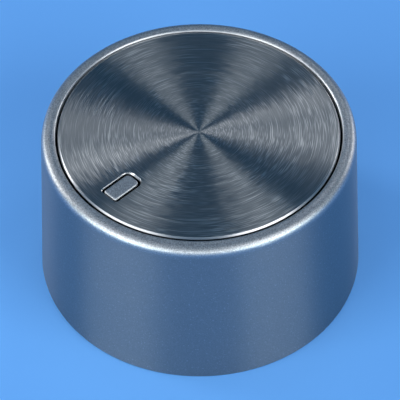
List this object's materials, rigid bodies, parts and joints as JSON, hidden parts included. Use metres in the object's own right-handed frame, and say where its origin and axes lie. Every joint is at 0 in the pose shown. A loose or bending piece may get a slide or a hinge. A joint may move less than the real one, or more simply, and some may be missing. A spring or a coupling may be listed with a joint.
{
  "type": "stove knob",
  "caption": "Round drafted stove knob in satin silver with a spun dark disc set in its face, a small pointer near the rim, and a push-on socket for a D-shaft beneath.",
  "frame": {"origin": "centre of the base rim's plane, on the axis of the shaft that the knob is pushed onto", "axes": "+Z along the shaft axis from the cooker towards the face, +Y towards the pointer, +X to the right as the knob is seen face on with its pointer up"},
  "size_m": [0.04, 0.04, 0.0224],
  "materials": {
    "satin_silver": "satin silver on a zinc die casting, with a fine metallic grain",
    "spun_disc": "spun in fine circles, dark slate, bright turned bevels",
    "adhesive": "black double-sided film",
    "black_moulding": "black heat-resistant moulding, fine matt",
    "bright_steel": "zinc-plated or spring steel"
  },
  "bodies": {
    "root": {"shell": "satin_silver", "face_disc": "spun_disc", "disc_adhesive": "adhesive", "core": "black_moulding", "boss_band": "bright_steel", "shaft_clip": "bright_steel", "core_screws": "bright_steel"}
  },
  "joints": []
}
